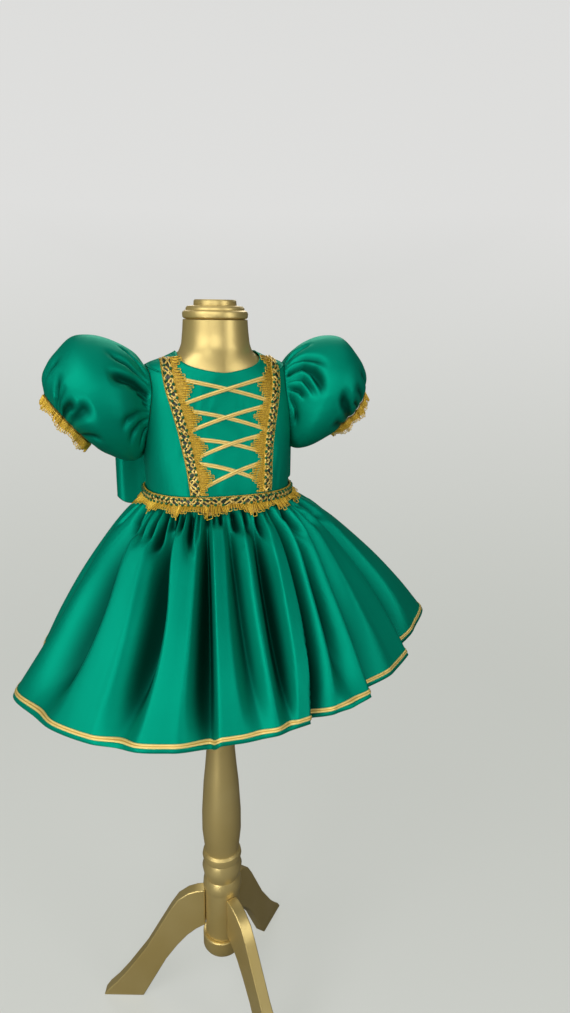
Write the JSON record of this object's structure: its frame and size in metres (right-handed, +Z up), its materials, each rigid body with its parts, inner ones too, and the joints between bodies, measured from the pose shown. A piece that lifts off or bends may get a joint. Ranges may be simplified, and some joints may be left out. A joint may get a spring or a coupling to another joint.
{
  "type": "princess dress on a dress form",
  "caption": "Child's satin princess dress with puff sleeves, laced bodice, scalloped lace, gathered skirt and back bow, on a limbless dress form with turned column and tripod legs",
  "frame": {"origin": "on the floor, under the middle of the box round the whole; the axis of the stand stands 9 mm towards -X and 3 mm towards -Y of it", "axes": "+Z is up, the front of the dress faces -Y, and +X is at the right of a viewer who faces its front"},
  "size_m": [0.5232, 0.501, 1.0705],
  "materials": {
    "satin": "smooth satin, emerald green",
    "lace": "metallic gold corded lace with a braid of gold, green and black",
    "ribbon": "woven metallic gold ribbon",
    "paint": "satin champagne-gold paint"
  },
  "bodies": {
    "root": {"bodice_front": "satin", "bodice_back_left": "satin", "bodice_back_right": "satin", "sleeve_left": "satin", "sleeve_right": "satin", "skirt_front": "satin", "skirt_back": "satin", "bow_loop_left": "satin", "bow_loop_right": "satin", "bow_knot": "satin", "lace_strip_left": "lace", "lace_strip_right": "lace", "waist_lace": "lace", "cuff_lace_left": "lace", "cuff_lace_right": "lace", "hem_ribbon": "ribbon", "lacing_1_under": "ribbon", "lacing_1_over": "ribbon", "lacing_2_under": "ribbon", "lacing_2_over": "ribbon", "lacing_3_under": "ribbon", "lacing_3_over": "ribbon", "lacing_4_under": "ribbon", "lacing_4_over": "ribbon", "form_torso": "paint", "neck_cap": "paint", "column": "paint", "column_base": "paint", "leg_1": "paint", "leg_2": "paint", "leg_3": "paint"}
  },
  "joints": []
}
